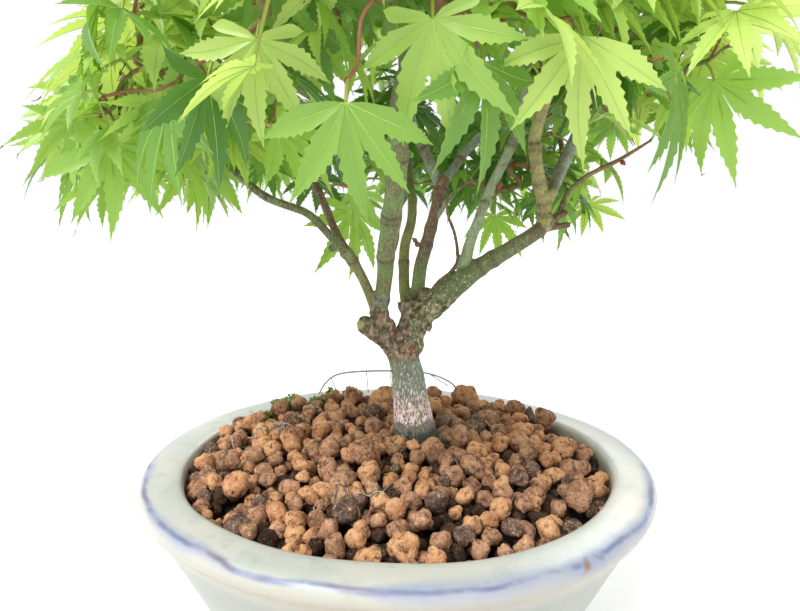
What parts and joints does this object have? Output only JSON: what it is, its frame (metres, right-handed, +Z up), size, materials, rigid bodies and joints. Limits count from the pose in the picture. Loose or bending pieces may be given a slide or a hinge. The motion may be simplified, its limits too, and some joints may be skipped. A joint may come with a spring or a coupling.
{
  "type": "bonsai maple tree in round glazed pot",
  "caption": "Small bonsai maple with a forked trunk and a broad leafy head, in a round glazed pot topped with clay granules.",
  "frame": {"origin": "centre of the pot's flat underside", "axes": "+Z up the trunk, +Y to the back, +X to the right seen from the front"},
  "size_m": [0.2156, 0.2269, 0.2948],
  "materials": {
    "glaze": "gloss",
    "granules": "matte",
    "bark_trunk": "matte",
    "bark_brown": "matte",
    "bark_green": "satin",
    "leaves_bright": "satin",
    "leaves_fresh": "satin",
    "leaves_deep": "satin",
    "wire": "satin"
  },
  "bodies": {
    "root": {"centre_bough": "bark_green", "centre_fork": "bark_brown", "centre_rear_bough": "bark_green", "centre_thin_bough": "bark_green", "centre_upper_bough": "bark_green", "cut_stub": "bark_brown", "front_bough": "bark_green", "front_left_bough": "bark_green", "left_bough": "bark_green", "left_fork": "bark_brown", "left_outer_bough": "bark_green", "left_rear_bough": "bark_green", "lower_foliage_back": "leaves_bright", "lower_foliage_back_left": "leaves_fresh", "lower_foliage_back_right": "leaves_deep", "lower_foliage_front": "leaves_bright", "lower_foliage_front_left": "leaves_fresh", "lower_foliage_front_right": "leaves_deep", "lower_foliage_left": "leaves_bright", "lower_foliage_right": "leaves_fresh", "pot": "glaze", "right_bough": "bark_green", "right_fork": "bark_brown", "right_inner_bough": "bark_green", "right_low_bough": "bark_green", "right_middle_bough": "bark_green", "right_outer_bough": "bark_green", "soil": "granules", "tie_wire": "wire", "top_foliage": "leaves_deep", "trunk": "bark_trunk", "upper_foliage_back_left": "leaves_bright", "upper_foliage_back_right": "leaves_fresh", "upper_foliage_front": "leaves_deep", "upper_foliage_left": "leaves_bright", "upper_foliage_right": "leaves_fresh"}
  },
  "joints": []
}
